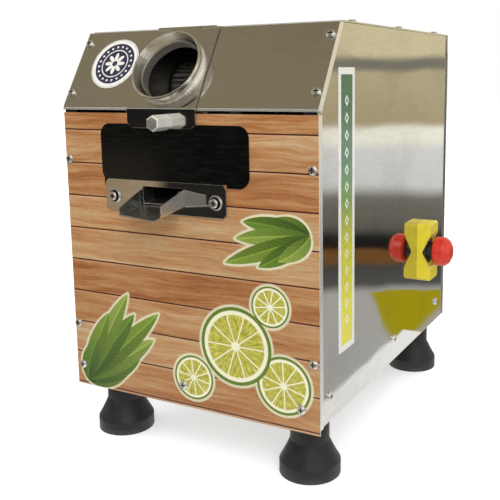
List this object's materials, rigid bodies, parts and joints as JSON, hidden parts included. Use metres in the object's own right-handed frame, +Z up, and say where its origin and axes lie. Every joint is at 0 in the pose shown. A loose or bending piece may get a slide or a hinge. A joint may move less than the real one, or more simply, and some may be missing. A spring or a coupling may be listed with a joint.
{
  "type": "sugarcane juicer",
  "caption": "Table-top sugarcane juicer: polished steel cabinet on rubber feet, slanted feed mouth on a hinged hatch, geared crushing rollers, front juice spout and side stop button.",
  "frame": {"origin": "on the floor under the middle of the whole part's box", "axes": "+Z up, -Y towards the front with the feed mouth and spout, +X towards the stop button"},
  "size_m": [0.346, 0.503, 0.46],
  "materials": {
    "polished_steel": "mirror-polished stainless sheet",
    "front_print": "stainless sheet under a printed vinyl film",
    "black_plate": "glossy black plate, bare",
    "plain_steel": "mill-finish stainless",
    "machined_steel": "machined steel",
    "bright_fasteners": "bright zinc and stainless fasteners",
    "bronze": "sintered bronze",
    "black_rubber": "moulded rubber",
    "drive_grey": "painted cast aluminium",
    "black_plastic": "moulded plastic",
    "yellow_plastic": "moulded plastic",
    "red_plastic": "moulded plastic",
    "lead_jacket": "flexible cable jacket"
  },
  "bodies": {
    "cabinet": {"left_side_panel": "polished_steel", "right_side_panel": "polished_steel", "left_slant_panel": "polished_steel", "right_slant_panel": "polished_steel", "roof_panel": "polished_steel", "rear_panel": "polished_steel", "outlet_flange": "polished_steel", "juice_spout": "polished_steel", "hinge_leaf": "polished_steel", "hinge_pin": "polished_steel", "rear_collar": "polished_steel", "front_panel": "front_print", "name_plate": "black_plate", "base_pan": "plain_steel", "front_rail": "plain_steel", "juice_tray": "plain_steel", "left_cheek": "plain_steel", "right_cheek": "plain_steel", "cheek_angles": "plain_steel", "motor_stand": "plain_steel", "turn_plate": "plain_steel", "feed_apron": "plain_steel", "husk_chute": "plain_steel", "tie_rods": "machined_steel", "panel_screws": "bright_fasteners", "outlet_screws": "bright_fasteners", "base_bolts": "bright_fasteners", "bearing_bushes": "bronze", "front_left_foot": "black_rubber", "front_right_foot": "black_rubber", "rear_left_foot": "black_rubber", "rear_right_foot": "black_rubber", "gearbox": "drive_grey", "motor_body": "drive_grey", "fan_cowl": "black_plastic", "terminal_box": "black_plastic", "estop_bezel": "black_plastic", "estop_nut": "black_plastic", "estop_block": "black_plastic", "cable_gland": "black_plastic", "estop_guard": "yellow_plastic", "inner_leads": "lead_jacket"},
    "top_roller": {"top_roller": "machined_steel", "top_roller_shaft": "machined_steel", "top_roller_gear": "machined_steel", "bull_gear": "machined_steel"},
    "feed_roller": {"feed_roller": "machined_steel", "feed_roller_shaft": "machined_steel", "feed_roller_gear": "machined_steel"},
    "discharge_roller": {"discharge_roller": "machined_steel", "discharge_roller_shaft": "machined_steel", "discharge_roller_gear": "machined_steel"},
    "drive_pinion": {"drive_pinion": "machined_steel", "gearbox_shaft": "machined_steel"},
    "feed_hatch": {"feed_hatch": "polished_steel", "feed_mouth": "polished_steel", "hatch_knob": "polished_steel", "hatch_knob_screw": "bright_fasteners"},
    "estop_plunger": {"estop_stem": "black_plastic"},
    "estop_button": {"estop_head": "red_plastic"}
  },
  "joints": [
    {"name": "top_roller_spin", "type": "hinge", "parent": "cabinet", "child": "top_roller", "pos_m": [-0.0405, -0.08134, 0.39038], "axis": [1, 0, 0], "continuous": true},
    {"name": "feed_roller_spin", "type": "hinge", "parent": "cabinet", "child": "feed_roller", "pos_m": [-0.0405, -0.116, 0.33421], "axis": [1, 0, 0], "continuous": true},
    {"name": "discharge_roller_spin", "type": "hinge", "parent": "cabinet", "child": "discharge_roller", "pos_m": [-0.0405, -0.03717, 0.34133], "axis": [1, 0, 0], "continuous": true},
    {"name": "drive_pinion_spin", "type": "hinge", "parent": "cabinet", "child": "drive_pinion", "pos_m": [-0.0405, -0.03313, 0.33292], "axis": [1, 0, 0], "continuous": true},
    {"name": "feed_hatch_hinge", "type": "hinge", "parent": "cabinet", "child": "feed_hatch", "pos_m": [-0.0405, -0.1487, 0.455], "axis": [-1, 0, 0], "range_deg": [0, 165]},
    {"name": "estop_push", "type": "slide", "parent": "cabinet", "child": "estop_plunger", "axis": [-1, 0, 0], "range_m": [0, 0.004], "stiffness_N_per_m": 400},
    {"name": "estop_twist", "type": "hinge", "parent": "estop_plunger", "child": "estop_button", "pos_m": [0.132, 0.114, 0.1815], "axis": [-1, 0, 0], "range_deg": [0, 35], "stiffness_Nm_per_rad": 0.05}
  ],
  "couplings": [
    {"joint": "feed_roller_spin", "follows": "top_roller_spin", "ratio": -1},
    {"joint": "discharge_roller_spin", "follows": "top_roller_spin", "ratio": -1},
    {"joint": "drive_pinion_spin", "follows": "top_roller_spin", "ratio": -2}
  ]
}
